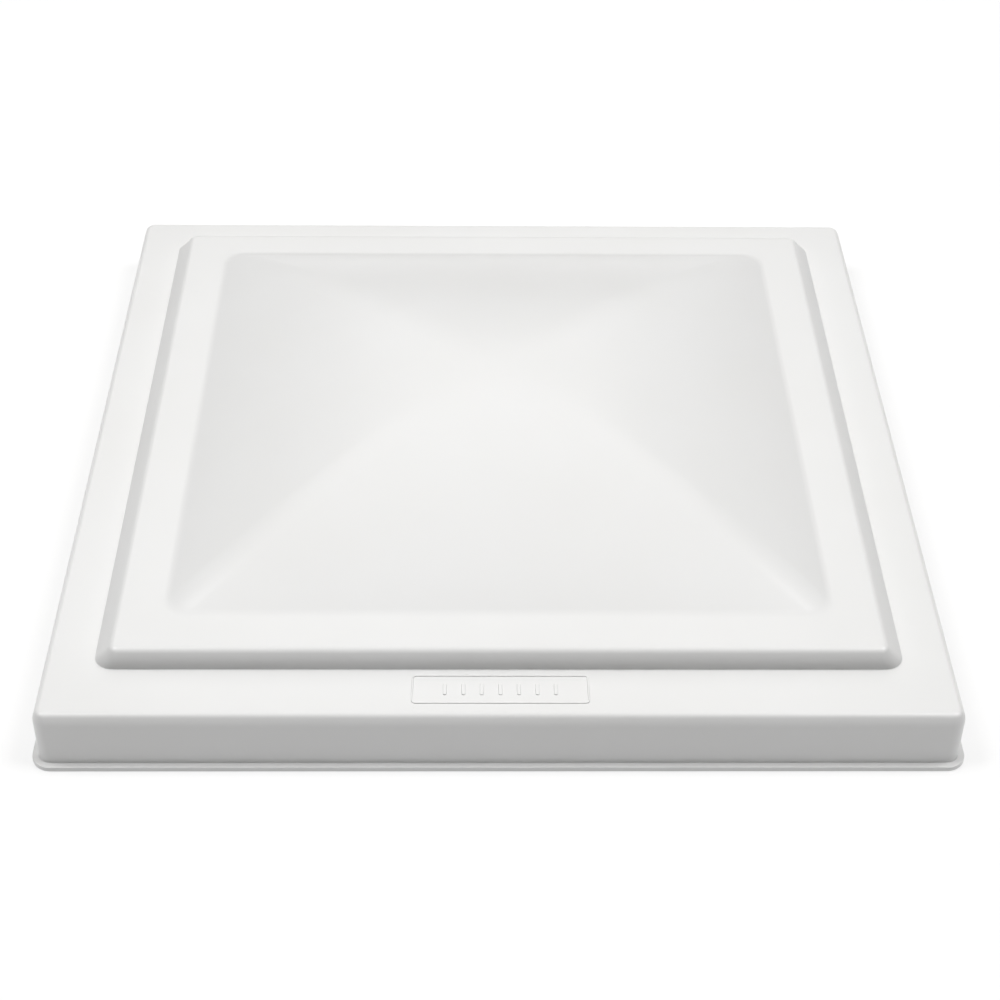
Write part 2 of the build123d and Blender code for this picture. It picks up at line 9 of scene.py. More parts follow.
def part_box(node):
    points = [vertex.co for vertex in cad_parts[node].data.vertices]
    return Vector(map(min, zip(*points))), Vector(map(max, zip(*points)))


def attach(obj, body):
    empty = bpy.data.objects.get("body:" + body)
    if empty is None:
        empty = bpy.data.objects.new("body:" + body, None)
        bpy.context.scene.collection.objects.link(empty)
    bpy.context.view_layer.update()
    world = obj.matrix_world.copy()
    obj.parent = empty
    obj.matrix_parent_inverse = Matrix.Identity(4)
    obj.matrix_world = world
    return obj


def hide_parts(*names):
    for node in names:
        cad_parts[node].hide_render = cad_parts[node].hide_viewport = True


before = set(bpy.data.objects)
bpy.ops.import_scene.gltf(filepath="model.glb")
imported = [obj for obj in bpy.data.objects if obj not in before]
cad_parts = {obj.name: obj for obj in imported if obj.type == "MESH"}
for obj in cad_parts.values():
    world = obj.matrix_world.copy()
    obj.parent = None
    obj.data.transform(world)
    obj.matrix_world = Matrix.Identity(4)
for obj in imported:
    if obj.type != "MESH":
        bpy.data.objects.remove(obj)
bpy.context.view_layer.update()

MM = 0.001

# ---------------------------------------------------------------- sizes, in metres
lid_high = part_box("lid_shell")[1]
track_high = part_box("lift_track")[1]
screws_low, screws_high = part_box("track_screws")
LIP_HALF = lid_high.x
LID_TOP = lid_high.z

WALL = 2.5 * MM
LIP_REACH = 2.9 * MM
LIP_THICK = 2.4 * MM
LIP_ROUND = 0.35 * MM
LIP_INNER_EDGE = 0.4 * MM
SKIRT_HALF = LIP_HALF - LIP_REACH
SKIRT_CORNER = 6.0 * MM
SKIRT_INNER = SKIRT_HALF - WALL
BORDER_TOP = 29.7 * MM
BORDER_SHOULDER = 10.0 * MM  # the slow part of the border's edge
BORDER_ROUND = 2.8 * MM  # the quick part
BORDER_INNER_ROUND = 2.9 * MM
EDGE_TURN = 30.0  # degrees an edge has turned from the vertical where slow meets quick
BORDER_UNDER = BORDER_TOP - WALL
CREASE = 0.4 * MM  # inside radius where a wall rises out of a flat
SUPPORT = 1.0 * MM  # how far from a bend the edge loops that hold a flat flat are
LEAST_CORNER = 0.4 * MM  # no ring's corner is sharper than this

PANEL_FOOT_X = 177.5 * MM
PANEL_FOOT_FRONT = -170.5 * MM
PANEL_FOOT_REAR = 178.5 * MM
PANEL_SIDE_SLOPE = math.radians(50)
PANEL_TOP = 39.5 * MM
PANEL_RISE = PANEL_TOP - BORDER_TOP
PANEL_ROUND = 3.5 * MM
PANEL_SHOULDER = 12.0 * MM  # the slow part of the front wall's edge
PANEL_FOOT_CORNER = 8.5 * MM
PANEL_TOP_CORNER = 4.5 * MM

DOME_HALF = 148.0 * MM
DOME_CENTRE = 3.0 * MM
DOME_RISE = LID_TOP - PANEL_TOP
DOME_CORNER = 11.0 * MM
DOME_CORNER_SHARE = 0.36  # near the crown the ridges soften in step with the ring
DOME_RADIUS = (DOME_HALF**2 + DOME_RISE**2) / (2 * DOME_RISE)
DOME_ARC_CENTRE = PANEL_TOP + DOME_RISE - DOME_RADIUS
DOME_PATCH_HALF = 12.0 * MM  # the quads of the crown start here
DOME_RINGS = 34
FOLD_HALF = 2.0 * MM  # how far each side of the dome's foot its fold is softened
FOLD_RINGS = 6

SEAL_RIB_INNER = 177.6 * MM
SEAL_RIB_OUTER = 178.8 * MM
SEAL_RIB_DEPTH = 3.0 * MM
SEAL_RIB_ROUND = 0.25 * MM

MARK_HALF = Vector((38.5, 8.7)) * MM
MARK_CENTRE_Y = -182.8 * MM
MARK_CORNER = 2.0 * MM
MARK_LINE = 0.8 * MM
MARK_HEIGHT = 0.4 * MM
MARK_ROUND = 0.2 * MM
MARK_ROUND_STEPS = 4
MARK_BARS = 7
MARK_BAR_PITCH = 8.0 * MM
MARK_BAR_HALF = Vector((0.8, 3.5)) * MM
MARK_BAR_CORNER = 0.7 * MM
MARK_SINK = 0.5 * MM  # how far the mark's base is let into the border

BOSS_RADIUS = 4.5 * MM
BOSS_HOLE = 1.95 * MM
BOSS_HOLE_DEPTH = 7.2 * MM
BOSS_EDGE = 0.35 * MM
BOSS_SIDES = 40
TRACK_TOP = track_high.z
SCREW_HEAD_RADIUS = 4.0 * MM
SCREW_X = screws_high.x - SCREW_HEAD_RADIUS
SCREW_FRONT = screws_low.y + SCREW_HEAD_RADIUS
SCREW_REAR = screws_high.y - SCREW_HEAD_RADIUS
RIB_HALF = 0.9 * MM
RIB_LIFT = 1.0 * MM
RIB_CELLS = 60
SUPPORT_EDGE = 0.2 * MM  # moulded edges of the bosses and ribs
SUPPORT_EDGE_STEPS = 2
SUPPORT_EDGE_LEAST = math.radians(60)  # an edge that turns less than this stays as it is

SIDE_CELLS = 28  # quads along one straight side of a ring
CORNER_CELLS = 12  # quads round one corner of a ring
CORNER_SHARE = 0.98  # the most of a ring's half width that its corner takes
LIP_STEPS = 5
CREASE_STEPS = 4
PANEL_CREASE_STEPS = 5
SLOW_STEPS = 8
QUICK_STEPS = 10
INNER_EDGE_STEPS = 8
SHADING_WEIGHT = 80  # how much a large face counts for in the shading, out of 100


# ---------------------------------------------------------------- rings and shells
def ring(half_x, front, rear, corner, z):
    """The points of one rounded rectangle, anticlockwise, starting in the middle of a corner."""
    corner = min(corner, CORNER_SHARE * half_x)
    right, left = half_x - corner, corner - half_x
    back, fore = rear - corner, front + corner
    centres = [Vector(c) for c in ((right, back, z), (left, back, z), (left, fore, z), (right, fore, z))]
    points = []
    for quarter, centre in enumerate(centres):
        arc = []
        for i in range(CORNER_CELLS + 1):
            angle = math.radians(90 * (quarter + i / CORNER_CELLS))
            out = corner * Vector((math.cos(angle), math.sin(angle), 0))
            arc.append(centre + out)
        side_end = centres[(quarter + 1) % 4] + out
        side = [arc[-1].lerp(side_end, i / SIDE_CELLS) for i in range(1, SIDE_CELLS)]
        points += arc + side
    first = CORNER_CELLS // 2
    return points[first:] + points[:first]


def square(half, z, corner, centre=0.0):
    """A ring's five sizes for a rounded square."""
    return half, centre - half, centre + half, max(corner, LEAST_CORNER), z


def skirt_square(half, z):
    """A ring of the skirt, border or lip, which are offsets of one outline."""
    return square(half, z, SKIRT_CORNER + half - SKIRT_HALF)


def rib_square(half, z):
    """A ring of the rib that locates the seals."""
    return square(half, z, SKIRT_CORNER + half - SEAL_RIB_OUTER)


def dome_square(half, z):
    """A ring of the dome, whose corners soften its ridges."""
    return square(half, z, min(DOME_CORNER, DOME_CORNER_SHARE * half), DOME_CENTRE)


def profile_arc(centre, radius, start, end, steps):
    """Points of an arc in the (half width, height) plane, angles in degrees."""
    points = []
    for i in range(steps + 1):
        angle = math.radians(start + (end - start) * i / steps)
        points.append((centre[0] + radius * math.cos(angle), centre[1] + radius * math.sin(angle)))
    return points


def edge_profile(half, top, slow, quick):
    """An edge that turns slowly out of the vertical, then quickly into the flat."""
    rise, run = math.sin(math.radians(EDGE_TURN)), math.cos(math.radians(EDGE_TURN))
    low = top - slow * rise - quick * (1 - rise)
    points = profile_arc((half - slow, low), slow, 0, EDGE_TURN, SLOW_STEPS)
    x, z = points[-1]
    centre = (x - quick * run, z - quick * rise)
    return points + profile_arc(centre, quick, EDGE_TURN, 90, QUICK_STEPS)[1:]


def side_reach(height, wall):
    """How far in from its foot a sloping side of the panel is at a height above that foot."""
    slope, rounding = PANEL_SIDE_SLOPE, PANEL_ROUND - wall
    lean = wall / math.sin(slope) - wall / math.tan(slope)
    depth = PANEL_RISE - height
    if height < CREASE * (1 - math.cos(slope)):
        turned = math.acos(1 - height / CREASE)
        return lean + CREASE * (math.sin(turned) - math.tan(slope / 2))
    if depth < rounding * (1 - math.cos(slope)):
        turned = math.acos(max(-1.0, min(1.0, 1 - depth / rounding)))
        return lean + PANEL_RISE / math.tan(slope) + rounding * (math.tan(slope / 2) - math.sin(turned))
    return lean + height / math.tan(slope)


def panel_front(wall):
    """The front wall's points of (distance in from its foot, height), from crease to flat."""
    bend = profile_arc((-CREASE, CREASE), CREASE, -90, 0, PANEL_CREASE_STEPS)
    crease = [(wall + x, z) for x, z in bend]
    edge = edge_profile(0.0, PANEL_RISE, PANEL_SHOULDER - wall, PANEL_ROUND - wall)
    return crease + [(wall - x, z) for x, z in edge]


def panel_stations(wall):
    """Rings up the raised panel's walls, from the border to the flat; wall is the depth of the skin."""
    made = []
    for front, height in panel_front(wall):
        side = side_reach(height, wall)
        risen = height / PANEL_RISE
        corner = PANEL_FOOT_CORNER + (PANEL_TOP_CORNER - PANEL_FOOT_CORNER) * risen
        corner -= (side - height / math.tan(PANEL_SIDE_SLOPE) + front) / 2
        made.append((
            PANEL_FOOT_X - side,
            PANEL_FOOT_FRONT + front,
            PANEL_FOOT_REAR - side,
            max(corner, LEAST_CORNER),
            BORDER_TOP - wall + height,
        ))
    return made


def grown(station, by):
    """The same ring at the same height, moved outwards."""
    half_x, front, rear, corner, z = station
    return half_x + by, front - by, rear + by, max(corner + by, LEAST_CORNER), z


def outer_stations():
    """The lid's outside from the inner edge of the lip's underside to the panel's flat."""
    skirt = [(SKIRT_INNER, LIP_INNER_EDGE), (SKIRT_INNER + LIP_INNER_EDGE, 0.0)]
    skirt += profile_arc((LIP_HALF - LIP_ROUND, LIP_ROUND), LIP_ROUND, -90, 0, LIP_STEPS)
    skirt += profile_arc((LIP_HALF - LIP_ROUND, LIP_THICK - LIP_ROUND), LIP_ROUND, 0, 90, LIP_STEPS)
    skirt += profile_arc((SKIRT_HALF + CREASE, LIP_THICK + CREASE), CREASE, -90, -180, CREASE_STEPS)
    skirt += [(SKIRT_HALF, LIP_THICK + 2 * SUPPORT)]
    edge = edge_profile(SKIRT_HALF, BORDER_TOP, BORDER_SHOULDER, BORDER_ROUND)
    skirt += [(SKIRT_HALF, edge[0][1] - SUPPORT)] + edge + [(edge[-1][0] - SUPPORT, BORDER_TOP)]
    panel = panel_stations(0.0)
    before, after = grown(panel[0], SUPPORT), grown(panel[-1], -SUPPORT)
    return [skirt_square(*point) for point in skirt] + [before] + panel + [after]


def dome_height(half, thickness=0.0):
    """Height of the dome's skin on the ring of that half width."""
    radius = DOME_RADIUS - thickness
    return DOME_ARC_CENTRE + math.sqrt(radius**2 - half**2)


def dome_stations(thickness=0.0):
    """Rings from the foot of the dome up to the crown's patch, with a softened fold at the foot."""
    flat = PANEL_TOP - thickness
    radius = DOME_RADIUS - thickness
    foot = math.sqrt(radius**2 - (flat - DOME_ARC_CENTRE) ** 2)
    slope = foot / math.sqrt(radius**2 - foot**2)
    points = [(foot + FOLD_HALF + 2 * SUPPORT, flat)]
    for i in range(FOLD_RINGS + 1):
        across = FOLD_HALF * (1 - 2 * i / FOLD_RINGS)
        lift = slope * (FOLD_HALF - across) ** 2 / (4 * FOLD_HALF)
        points.append((foot + across, flat + lift))
    start = foot - FOLD_HALF - 2 * SUPPORT
    for i in range(DOME_RINGS + 1):
        half = start + (DOME_PATCH_HALF - start) * i / DOME_RINGS
        points.append((half, dome_height(half, thickness)))
    return [dome_square(*point) for point in points]


def inner_stations():
    """The lid's inside from the panel's underside down to the lip."""
    panel = panel_stations(WALL)[::-1]
    low = BORDER_UNDER - SEAL_RIB_DEPTH
    rib = [
        (SEAL_RIB_INNER, BORDER_UNDER),
        (SEAL_RIB_INNER, low + SEAL_RIB_ROUND),
        (SEAL_RIB_INNER + SEAL_RIB_ROUND, low),
        (SEAL_RIB_OUTER - SEAL_RIB_ROUND, low),
        (SEAL_RIB_OUTER, low + SEAL_RIB_ROUND),
        (SEAL_RIB_OUTER, BORDER_UNDER),
    ]
    edge_centre = (SKIRT_INNER - BORDER_INNER_ROUND, BORDER_UNDER - BORDER_INNER_ROUND)
    skirt = [(edge_centre[0] - SUPPORT, BORDER_UNDER)]
    skirt += profile_arc(edge_centre, BORDER_INNER_ROUND, 90, 0, INNER_EDGE_STEPS)
    skirt += [(SKIRT_INNER, LIP_INNER_EDGE + 2 * SUPPORT)]
    made = [grown(panel[0], -SUPPORT)] + panel
    made += [rib_square(*point) for point in rib]
    return made + [skirt_square(*point) for point in skirt]


def bridge(bm, low, high):
    """A strip of quads between two loops of vertices."""
    count = len(low)
    for i in range(count):
        following = (i + 1) % count
        bm.faces.new((low[i], low[following], high[following], high[i]))


def bridge_all(bm, loops):
    """Strips of quads between each loop and the next."""
    for low, high in zip(loops, loops[1:]):
        bridge(bm, low, high)


def crown(bm, loop, thickness, facing_up):
    """Fills the last ring of the dome with a square patch of quads that carries on its curve."""
    cells = len(loop) // 4
    sides = [[loop[(k * cells + i) % len(loop)] for i in range(cells + 1)] for k in range(4)]
    back, left, fore, right = sides
    grid = [[None] * (cells + 1) for _ in range(cells + 1)]
    for i in range(cells + 1):
        grid[i][cells] = back[cells - i]
        grid[0][i] = left[cells - i]
        grid[i][0] = fore[i]
        grid[cells][i] = right[i]
    for i in range(1, cells):
        for j in range(1, cells):
            s, t = i / cells, j / cells
            p = (
                grid[0][j].co * (1 - s) + grid[cells][j].co * s
                + grid[i][0].co * (1 - t) + grid[i][cells].co * t
                - grid[0][0].co * (1 - s) * (1 - t) - grid[cells][0].co * s * (1 - t)
                - grid[0][cells].co * (1 - s) * t - grid[cells][cells].co * s * t
            )
            u, v = 2 * s - 1, 2 * t - 1
            spread = math.sqrt(u * u + v * v - u * u * v * v)
            p.z = dome_height(DOME_PATCH_HALF * spread, thickness)
            grid[i][j] = bm.verts.new(p)
    for i in range(cells):
        for j in range(cells):
            quad = [grid[i][j], grid[i + 1][j], grid[i + 1][j + 1], grid[i][j + 1]]
            bm.faces.new(quad if facing_up else quad[::-1])


def even_shading(piece):
    """Keeps the flats' shading flat next to their rounded edges."""
    piece.modifiers.new("even_shading", "WEIGHTED_NORMAL").weight = SHADING_WEIGHT


def finish_mesh(bm, name):
    """Makes a smooth-shaded object from a bmesh."""
    bmesh.ops.recalc_face_normals(bm, faces=bm.faces)
    mesh = bpy.data.meshes.new(name)
    bm.to_mesh(mesh)
    bm.free()
    piece = bpy.data.objects.new(name, mesh)
    bpy.context.scene.collection.objects.link(piece)
    for face in mesh.polygons:
        face.use_smooth = True
    return piece


# ---------------------------------------------------------------- the moulded pieces
def lid_cover():
    """The moulded skin as one closed body: outside, dome, crown, inside and lip."""
    bm = bmesh.new()
    outside = outer_stations() + dome_stations()
    inside = dome_stations(WALL)[::-1] + inner_stations()
    outer_loops = [[bm.verts.new(p) for p in ring(*station)] for station in outside]
    inner_loops = [[bm.verts.new(p) for p in ring(*station)] for station in inside]
    bridge_all(bm, outer_loops)
    bridge_all(bm, inner_loops)
    bridge(bm, inner_loops[-1], outer_loops[0])
    crown(bm, outer_loops[-1], 0.0, True)
    crown(bm, inner_loops[0], WALL, False)
    piece = finish_mesh(bm, "lid_cover")
    even_shading(piece)
    return piece


def in_the_skin(x, y):
    """A height inside the dome's skin, where the bosses and ribs below it end."""
    return dome_height(max(abs(x), abs(y - DOME_CENTRE))) - WALL / 2


def screw_boss(bm, x, y):
    """A round boss with a blind screw hole, up into the skin of the dome."""
    profile = [
        (BOSS_RADIUS, TRACK_TOP + BOSS_EDGE),
        (BOSS_RADIUS - BOSS_EDGE, TRACK_TOP),
        (BOSS_HOLE + BOSS_EDGE, TRACK_TOP),
        (BOSS_HOLE, TRACK_TOP + BOSS_EDGE),
        (BOSS_HOLE, TRACK_TOP + BOSS_HOLE_DEPTH),
    ]
    turns = [math.tau * i / BOSS_SIDES for i in range(BOSS_SIDES)]
    rim = [(x + BOSS_RADIUS * math.cos(a), y + BOSS_RADIUS * math.sin(a)) for a in turns]
    loops = [[bm.verts.new((px, py, in_the_skin(px, py))) for px, py in rim]]
    for radius, z in profile:
        loop = [(x + radius * math.cos(a), y + radius * math.sin(a), z) for a in turns]
        loops.append([bm.verts.new(p) for p in loop])
    bridge_all(bm, loops)
    bm.faces.new(loops[0])
    bm.faces.new(loops[-1][::-1])


def support_rib(bm, x):
    """A thin rib between two bosses, with its top in the skin of the dome."""
    low = TRACK_TOP + RIB_LIFT
    loops = []
    for i in range(RIB_CELLS + 1):
        y = SCREW_FRONT + (SCREW_REAR - SCREW_FRONT) * i / RIB_CELLS
        top = in_the_skin(x, y)
        corners = ((x - RIB_HALF, low), (x + RIB_HALF, low), (x + RIB_HALF, top), (x - RIB_HALF, top))
        loops.append([bm.verts.new((px, y, z)) for px, z in corners])
    bridge_all(bm, loops)
    bm.faces.new(loops[0])
    bm.faces.new(loops[-1][::-1])


def track_supports():
    """The four bosses and two ribs that hold the lift track, part of the same moulding."""
    bm = bmesh.new()
    for x in (-SCREW_X, SCREW_X):
        support_rib(bm, x)
        for y in (SCREW_FRONT, SCREW_REAR):
            screw_boss(bm, x, y)
    piece = finish_mesh(bm, "track_supports")
    soften = piece.modifiers.new("moulded_edges", "BEVEL")
    soften.width = SUPPORT_EDGE
    soften.segments = SUPPORT_EDGE_STEPS
    soften.limit_method = "ANGLE"
    soften.angle_limit = SUPPORT_EDGE_LEAST
    even_shading(piece)
    return piece


def mark_ring(half, corner, lift, x):
    """One loop of the raised mark: half sizes, plan corner, height above the border."""
    front, rear = MARK_CENTRE_Y - half.y, MARK_CENTRE_Y + half.y
    loop = ring(half.x, front, rear, corner, BORDER_TOP + lift)
    return [p + Vector((x, 0, 0)) for p in loop]


def raised_edge(half, corner, inwards, x=0.0):
    """Loops up one rounded edge of the mark; inwards is 1 for an outer edge and -1 for an inner one."""
    loops = [mark_ring(half, corner, -MARK_SINK, x)]
    for i in range(MARK_ROUND_STEPS + 1):
        angle = math.radians(90 * i / MARK_ROUND_STEPS)
        move = inwards * MARK_ROUND * (1 - math.cos(angle))
        lift = MARK_HEIGHT - MARK_ROUND * (1 - math.sin(angle))
        loops.append(mark_ring(half - Vector((move, move)), corner - move, lift, x))
    return loops


def raised_mark():
    """A plain raised frame with upright bars on the front border, in place of lettering."""
    bm = bmesh.new()
    outer = raised_edge(MARK_HALF, MARK_CORNER, 1)
    inner = raised_edge(MARK_HALF - Vector((MARK_LINE, MARK_LINE)), MARK_CORNER - MARK_LINE, -1)
    loops = [[bm.verts.new(p) for p in loop] for loop in outer + inner[::-1]]
    bridge_all(bm, loops)
    bridge(bm, loops[-1], loops[0])
    for i in range(MARK_BARS):
        x = (i - (MARK_BARS - 1) / 2) * MARK_BAR_PITCH
        edge = raised_edge(MARK_BAR_HALF, MARK_BAR_CORNER, 1, x)
        bar = [[bm.verts.new(p) for p in loop] for loop in edge]
        bridge_all(bm, bar)
        bm.faces.new(bar[0][::-1])
        bm.faces.new(bar[-1])
    piece = finish_mesh(bm, "raised_mark")
    even_shading(piece)
    return piece


# ---------------------------------------------------------------- foam seals
SEAL_ROUND = 1.5 * MM
SEAL_TOP_ROUND = 0.3 * MM
SEAL_STEPS = 5
SEAL_TOP_STEPS = 2
SEAL_CELLS = 140
SEAL_SHRINK = 0.18 * MM  # how far the cut foam's faces wander in from its nominal size
SEAL_WAVE = 210  # radians per metre along the strip
SEAL_RIPPLE = 513
SEAL_RIPPLE_SHARE = 0.6  # of the wave's height
SEAL_PHASE_X, SEAL_PHASE_Y = 7, 3  # so that no two strips wander alike


def seal_outline(width, low, high, inset):
    """A foam strip's section as points of (across, height), with its lower edges rounded."""
    half = width / 2 - inset
    low = low + inset
    outline = profile_arc((half - SEAL_ROUND, low + SEAL_ROUND), SEAL_ROUND, -90, 0, SEAL_STEPS)
    top = high - SEAL_TOP_ROUND
    outline += profile_arc((half - SEAL_TOP_ROUND, top), SEAL_TOP_ROUND, 0, 90, SEAL_TOP_STEPS)
    outline += profile_arc((SEAL_TOP_ROUND - half, top), SEAL_TOP_ROUND, 90, 180, SEAL_TOP_STEPS)
    centre = (SEAL_ROUND - half, low + SEAL_ROUND)
    return outline + profile_arc(centre, SEAL_ROUND, 180, 270, SEAL_STEPS)


def foam_strip(cad_node):
    """A foam strip in its CAD solid's space, with the slight unevenness of cut foam."""
    low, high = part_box(cad_node)
    size = high - low
    along_x = size.x > size.y
    length, width = max(size.x, size.y), min(size.x, size.y)
    middle = (low + high) / 2
    phase = (SEAL_PHASE_X * middle.x + SEAL_PHASE_Y * middle.y) / LIP_HALF
    most = 1 + SEAL_RIPPLE_SHARE
    bm = bmesh.new()
    loops = []
    for i in range(SEAL_CELLS + 1):
        along = length * (i / SEAL_CELLS - 0.5)
        wander = math.sin(SEAL_WAVE * along + phase)
        wander += SEAL_RIPPLE_SHARE * math.sin(SEAL_RIPPLE * along + 2 * phase)
        inset = SEAL_SHRINK * (most + wander) / (2 * most)
        loop = []
        for across, z in seal_outline(width, low.z, high.z, inset):
            out = Vector((along, across, z)) if along_x else Vector((-across, along, z))
            loop.append(bm.verts.new((middle.x + out.x, middle.y + out.y, z)))
        loops.append(loop)
    bridge_all(bm, loops)
    bm.faces.new(loops[0][::-1])
    bm.faces.new(loops[-1])
    piece = finish_mesh(bm, cad_node.replace("seal", "foam"))
    even_shading(piece)
    return piece


# ---------------------------------------------------------------- node materials
class Finish:
    """A principled material whose colour, roughness and bump come from nodes in object space."""

    def __init__(self, name, **fixed):
        self.material = bpy.data.materials.new(name)
        self.material.use_nodes = True
        self.tree = self.material.node_tree
        self.shader = self.tree.nodes["Principled BSDF"]
        for socket, value in fixed.items():
            self.shader.inputs[socket.replace("_", " ")].default_value = value
        self.place = self.tree.nodes.new("ShaderNodeTexCoord").outputs["Object"]

    def link(self, source, target):
        """Joins an output to an input."""
        self.tree.links.new(source, target)

    def stretched(self, stretch, turn):
        """Object coordinates, scaled along each axis and turned about Z."""
        mapping = self.tree.nodes.new("ShaderNodeMapping")
        mapping.inputs["Scale"].default_value = stretch
        mapping.inputs["Rotation"].default_value = (0, 0, turn)
        self.link(self.place, mapping.inputs["Vector"])
        return mapping.outputs["Vector"]

    def noise(self, size, detail=2.0, stretch=(1, 1, 1), turn=0.0):
        """Noise with features about that size, in metres."""
        made = self.tree.nodes.new("ShaderNodeTexNoise")
        made.inputs["Scale"].default_value = 1 / size
        made.inputs["Detail"].default_value = detail
        self.link(self.stretched(stretch, turn), made.inputs["Vector"])
        return made.outputs["Fac"]

    def cells(self, size, feature="F1", output="Distance", stretch=(1, 1, 1), turn=0.0):
        """Voronoi cells of about that size, in metres."""
        made = self.tree.nodes.new("ShaderNodeTexVoronoi")
        made.feature = feature
        made.inputs["Scale"].default_value = 1 / size
        self.link(self.stretched(stretch, turn), made.inputs["Vector"])
        return made.outputs[output]

    def spread(self, source, low, high, start=0.3, end=0.7):
        """Maps a pattern's start to end range on to low to high."""
        made = self.tree.nodes.new("ShaderNodeMapRange")
        for socket, value in zip(("From Min", "From Max", "To Min", "To Max"), (start, end, low, high)):
            made.inputs[socket].default_value = value
        self.link(source, made.inputs["Value"])
        return made.outputs["Result"]

    def combine(self, first, second, operation="ADD"):
        """Adds or multiplies two patterns."""
        made = self.tree.nodes.new("ShaderNodeMath")
        made.operation = operation
        self.link(first, made.inputs[0])
        self.link(second, made.inputs[1])
        return made.outputs["Value"]

    def blend(self, share, low, high):
        """A colour between two, each a plain colour or another blend."""
        made = self.tree.nodes.new("ShaderNodeMix")
        made.data_type = "RGBA"
        self.link(share, made.inputs["Factor"])
        colour_inputs = [s for s in made.inputs if s.type == "RGBA"]
        for target, colour in zip(colour_inputs, (low, high)):
            if isinstance(colour, tuple):
                target.default_value = (*colour, 1)
            else:
                self.link(colour, target)
        return [s for s in made.outputs if s.type == "RGBA"][0]

    def colour(self, source):
        """Sets the base colour."""
        self.link(source, self.shader.inputs["Base Color"])

    def roughness(self, source):
        """Sets the roughness."""
        self.link(source, self.shader.inputs["Roughness"])

    def bump(self, source, height):
        """Adds relief of that height, in metres."""
        made = self.tree.nodes.new("ShaderNodeBump")
        made.inputs["Distance"].default_value = height
        self.link(source, made.inputs["Height"])
        self.link(made.outputs["Normal"], self.shader.inputs["Normal"])


def white_plastic():
    """Glossy white moulding: faint tone, orange peel, fine dust and hairline scuffs."""
    finish = Finish("white_plastic", IOR=1.49)
    tone = finish.spread(finish.noise(70 * MM, 3), 0, 1)
    clean = finish.blend(tone, (0.704, 0.704, 0.702), (0.692, 0.691, 0.686))
    dust = finish.spread(finish.cells(16 * MM), 1, 0, 0.006, 0.022)
    patchy = finish.spread(finish.noise(45 * MM), 0, 0.3, 0.5, 0.68)
    marks = finish.combine(dust, patchy, "MULTIPLY")
    finish.colour(finish.blend(marks, clean, (0.42, 0.39, 0.34)))
    strokes = finish.cells(34 * MM, "DISTANCE_TO_EDGE", stretch=(0.22, 1.7, 1), turn=math.radians(28))
    hairlines = finish.spread(strokes, 0.16, 0, 0.0, 0.006)
    handled = finish.spread(finish.noise(60 * MM), 0, 1, 0.5, 0.65)
    polish = finish.spread(finish.noise(28 * MM, 4), 0.29, 0.37)
    finish.roughness(finish.combine(polish, finish.combine(hairlines, handled, "MULTIPLY")))
    finish.bump(finish.noise(2.4 * MM, 2), 0.006 * MM)
    return finish.material


def black_foam():
    """Closed-cell foam: tiny cells in matte black rubber."""
    finish = Finish("black_foam", IOR=1.45)
    pores = finish.cells(1.1 * MM)
    open_cell = finish.spread(pores, 0, 1, 0.1, 0.7)
    finish.colour(finish.blend(open_cell, (0.012, 0.012, 0.013), (0.045, 0.045, 0.046)))
    finish.roughness(finish.spread(finish.noise(9 * MM), 0.82, 0.95))
    finish.bump(pores, 0.25 * MM)
    return finish.material


def galvanised_steel():
    """Hot-dipped sheet: crystal spangle in two greys, with a trace of white bloom."""
    finish = Finish("galvanised_steel", Metallic=1.0)
    grey = finish.tree.nodes.new("ShaderNodeRGBToBW")
    finish.link(finish.cells(6 * MM, output="Color"), grey.inputs["Color"])
    crystal = grey.outputs["Val"]
    spangle = finish.spread(crystal, 0, 1, 0.2, 0.8)
    metal = finish.blend(spangle, (0.46, 0.48, 0.50), (0.68, 0.69, 0.70))
    bloom = finish.spread(finish.noise(14 * MM, 5), 0, 0.35, 0.55, 0.75)
    finish.colour(finish.blend(bloom, metal, (0.74, 0.74, 0.72)))
    finish.roughness(finish.combine(finish.spread(crystal, 0.3, 0.46, 0.2, 0.8), bloom))
    finish.bump(finish.cells(6 * MM, "DISTANCE_TO_EDGE"), 0.02 * MM)
    return finish.material


def plated_steel(name, light, dark, grain, polish, warmth):
    """Zinc plate over rolled or turned steel: drawn grain, cloudy chromate tint, duller patches."""
    finish = Finish(name, Metallic=1.0)
    cloud = finish.spread(finish.noise(11 * MM, 4), 0, 1)
    tint = finish.spread(finish.noise(6 * MM, 3), 0, warmth, 0.45, 0.7)
    finish.colour(finish.blend(tint, finish.blend(cloud, dark, light), (0.78, 0.71, 0.52)))
    drawn = finish.noise(grain, 2, stretch=(0.03, 1, 1))
    dull = finish.spread(finish.noise(17 * MM, 3), polish, polish + 0.14)
    finish.roughness(finish.combine(dull, finish.spread(drawn, 0, 0.08)))
    finish.bump(drawn, 0.012 * MM)
    return finish.material


def rivet_aluminium():
    """Soft aluminium: fine tumbled dents and grey oxide."""
    finish = Finish("rivet_aluminium", Metallic=1.0)
    oxide = finish.spread(finish.noise(2.5 * MM, 4), 0, 1)
    finish.colour(finish.blend(oxide, (0.80, 0.80, 0.81), (0.58, 0.59, 0.60)))
    finish.roughness(finish.spread(finish.noise(1.6 * MM, 3), 0.28, 0.48))
    finish.bump(finish.noise(0.9 * MM, 2), 0.03 * MM)
    return finish.material


